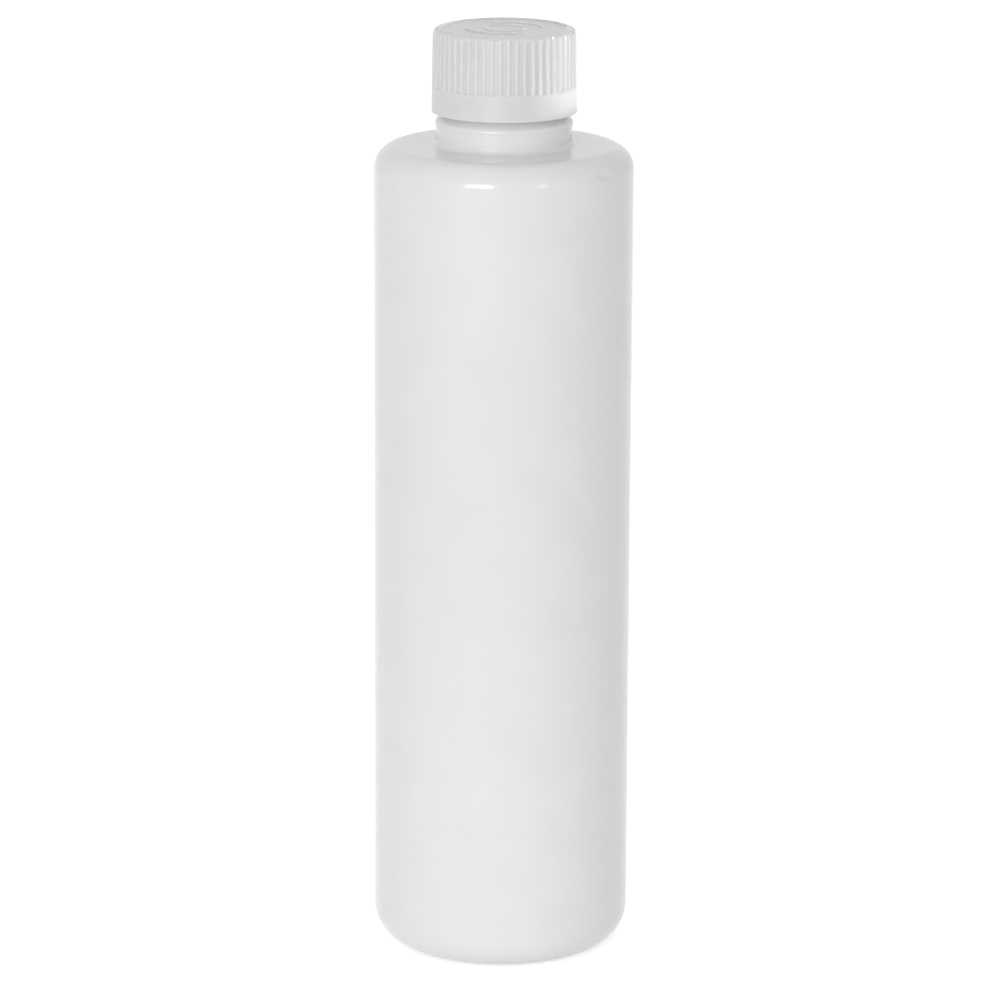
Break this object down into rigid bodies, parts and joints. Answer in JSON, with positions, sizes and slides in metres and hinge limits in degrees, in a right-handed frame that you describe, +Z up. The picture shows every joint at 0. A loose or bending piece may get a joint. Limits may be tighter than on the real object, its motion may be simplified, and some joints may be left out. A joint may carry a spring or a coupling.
{
  "type": "child-resistant bottle",
  "caption": "Slim round blown plastic bottle with a ribbed push-down-and-turn screw closure made of two nested caps, a spring ring and a sealing disc.",
  "frame": {"origin": "middle of the base, on the surface that the bottle stands on", "axes": "+Z up along the bottle's axis, -Y towards the front that the picture shows, +X to its right"},
  "size_m": [0.05, 0.05, 0.1819],
  "materials": {
    "bottle_plastic": "satin white blow-moulded polyethylene",
    "liner_foam": "fine-celled white polyethylene foam",
    "inner_cap_plastic": "moulded white polypropylene",
    "spring_plastic": "moulded natural acetal",
    "outer_cap_plastic": "moulded white polypropylene with fine grip ribs"
  },
  "bodies": {
    "bottle": {"bottle": "bottle_plastic"},
    "liner": {"liner": "liner_foam"},
    "inner_cap": {"inner_cap": "inner_cap_plastic"},
    "spring_ring": {"spring_ring": "spring_plastic"},
    "outer_cap": {"outer_cap": "outer_cap_plastic"}
  },
  "joints": [
    {"name": "cap_rise", "type": "slide", "parent": "bottle", "child": "liner", "axis": [0, 0, 1], "range_m": [0, 0.01587]},
    {"name": "cap_turn", "type": "hinge", "parent": "liner", "child": "inner_cap", "pos_m": [0, 0, 0.17], "axis": [0, 0, 1], "range_deg": [0, 1800]},
    {"name": "shell_spin", "type": "hinge", "parent": "inner_cap", "child": "spring_ring", "pos_m": [0, 0, 0.17], "axis": [0, 0, 1], "continuous": true},
    {"name": "push_down", "type": "slide", "parent": "spring_ring", "child": "outer_cap", "axis": [0, 0, -1], "range_m": [0, 0.0013], "stiffness_N_per_m": 8000, "springref_m": -0.0004, "deforming": ["spring_ring"]}
  ],
  "couplings": [
    {"joint": "cap_turn", "follows": "cap_rise", "rad_per_m": 1979}
  ]
}
